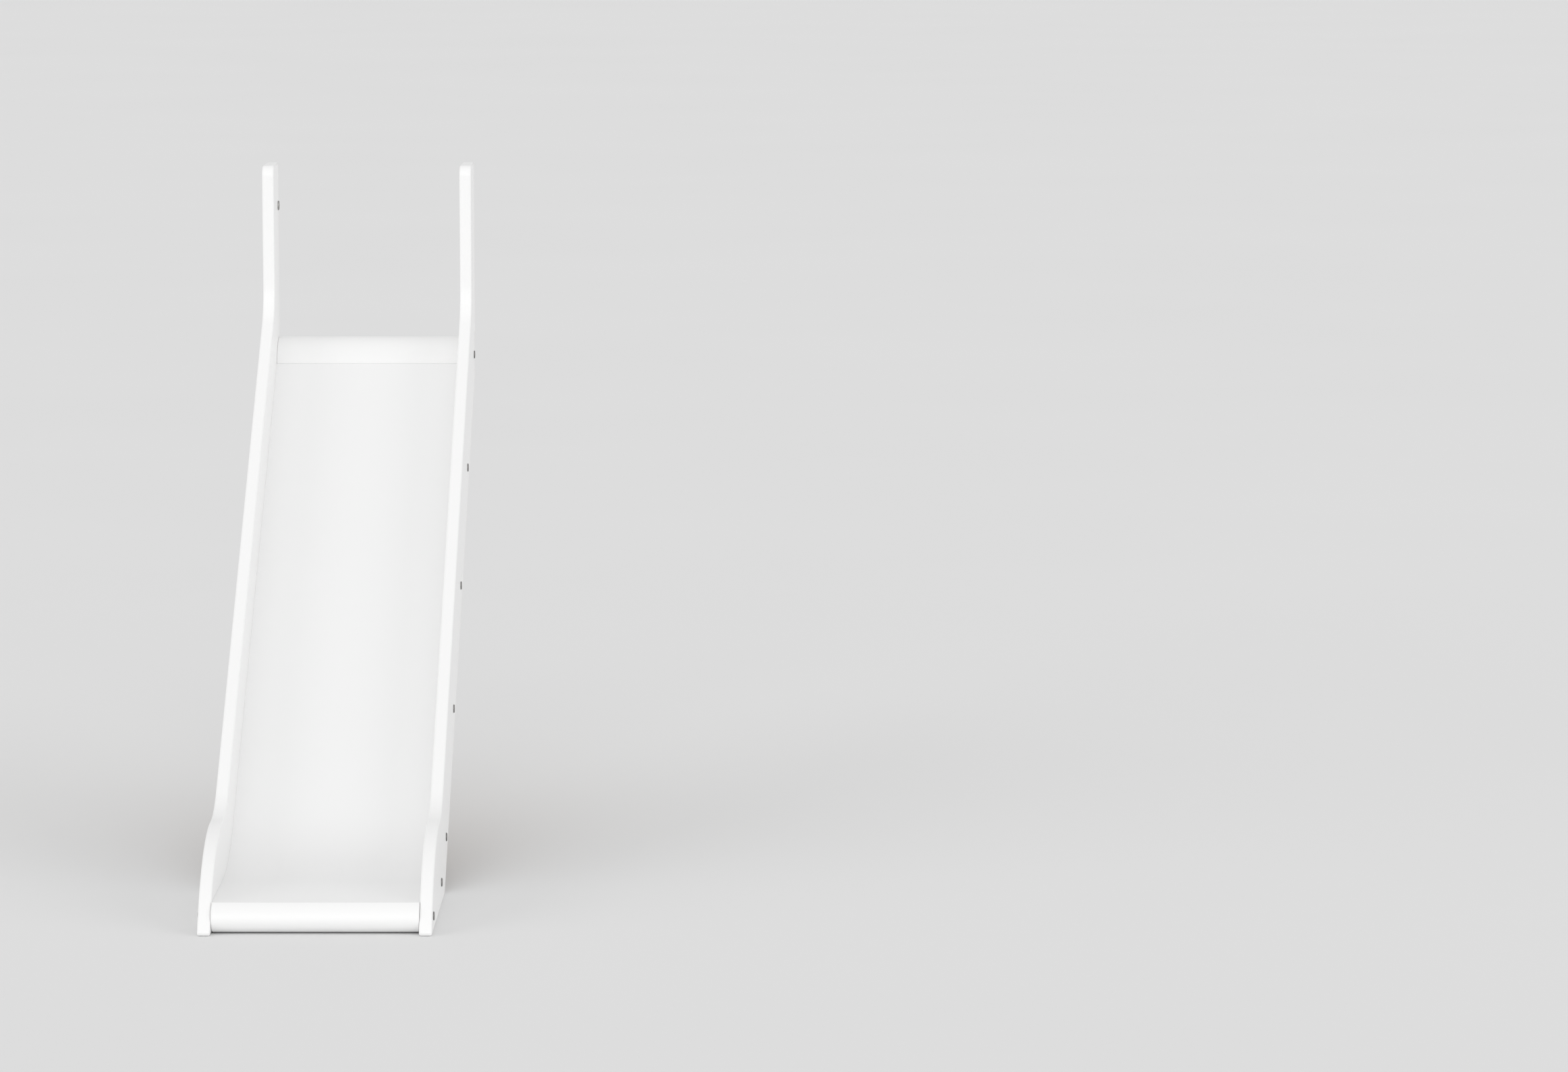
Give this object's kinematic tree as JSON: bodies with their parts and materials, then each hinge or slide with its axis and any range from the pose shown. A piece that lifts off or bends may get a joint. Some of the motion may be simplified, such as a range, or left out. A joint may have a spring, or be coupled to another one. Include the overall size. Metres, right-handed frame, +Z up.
{
  "type": "bed slide",
  "caption": "Straight slide with painted side panels, a smooth deck and a level run-out, hooked over the side rail of a mid-height bed.",
  "frame": {"origin": "on the floor, at the middle of the slide's box", "axes": "+X across the slide to its right-hand panel, +Y from the foot towards the bed, +Z up"},
  "size_m": [0.398, 1.51, 1.2],
  "materials": {
    "panel_paint": "satin white paint on medium density fibreboard",
    "nosing_paint": "satin white paint on solid wood",
    "deck_laminate": "smooth white laminate on thin bent board",
    "batten_pine": "planed softwood, unfinished",
    "dowel_beech": "fluted beech, unfinished",
    "bolt_nickel": "grey nickel plated steel",
    "nut_zinc": "bright zinc plated steel",
    "insert_brass": "turned brass"
  },
  "bodies": {
    "root": {"side_panel_left": "panel_paint", "side_panel_right": "panel_paint", "slide_deck": "deck_laminate", "entry_nosing": "nosing_paint", "foot_nosing": "nosing_paint", "cross_batten_1": "batten_pine", "cross_batten_2": "batten_pine", "cross_batten_3": "batten_pine", "cross_batten_4": "batten_pine", "runout_batten": "batten_pine", "connector_bolts_left": "bolt_nickel", "connector_bolts_right": "bolt_nickel", "barrel_nuts_left": "nut_zinc", "barrel_nuts_right": "nut_zinc", "dowels_left": "dowel_beech", "dowels_right": "dowel_beech", "post_sleeve_nut": "bolt_nickel", "rail_inserts": "insert_brass"}
  },
  "joints": []
}
